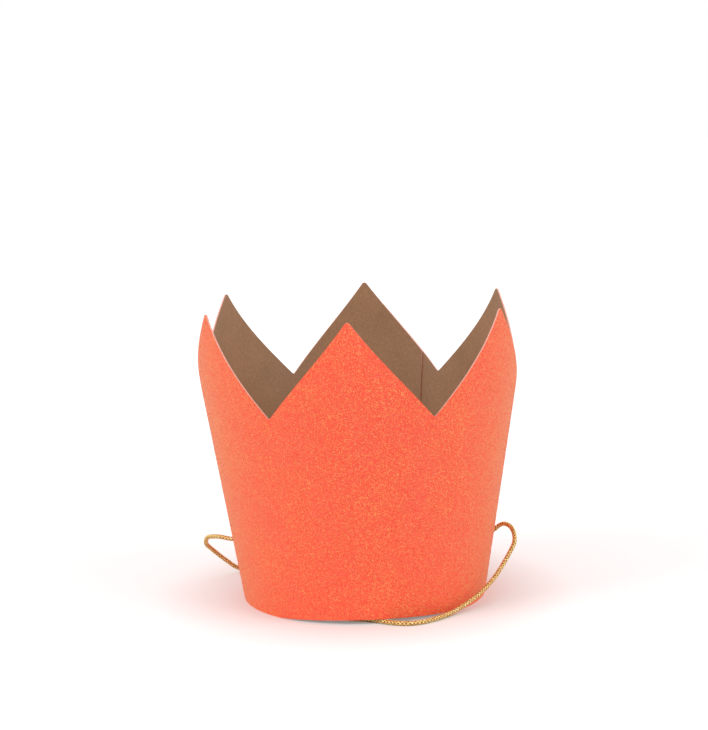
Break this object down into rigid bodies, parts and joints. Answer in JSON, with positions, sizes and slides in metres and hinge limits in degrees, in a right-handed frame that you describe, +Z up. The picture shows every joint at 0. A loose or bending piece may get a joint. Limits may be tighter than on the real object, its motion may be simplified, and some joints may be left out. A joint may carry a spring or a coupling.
{
  "type": "paper party crown",
  "caption": "Flared band of glitter card cut into points, rolled and glued at a rear lap, with a knotted gold chin elastic.",
  "frame": {"origin": "centre of the crown's base, in the plane that it stands on", "axes": "+Z up along the band's axis; -Y towards the front point; +X to the right seen from the front"},
  "size_m": [0.0977, 0.097, 0.0887],
  "materials": {
    "glitter_card": "coral glitter outside, plain satin tan inside, pale cut edges",
    "gold_elastic": "metallic gold yarn wrapped round a thin elastic core"
  },
  "bodies": {
    "root": {"crown_card": "glitter_card", "elastic_cord": "gold_elastic", "knot_left": "gold_elastic", "knot_right": "gold_elastic"}
  },
  "joints": []
}
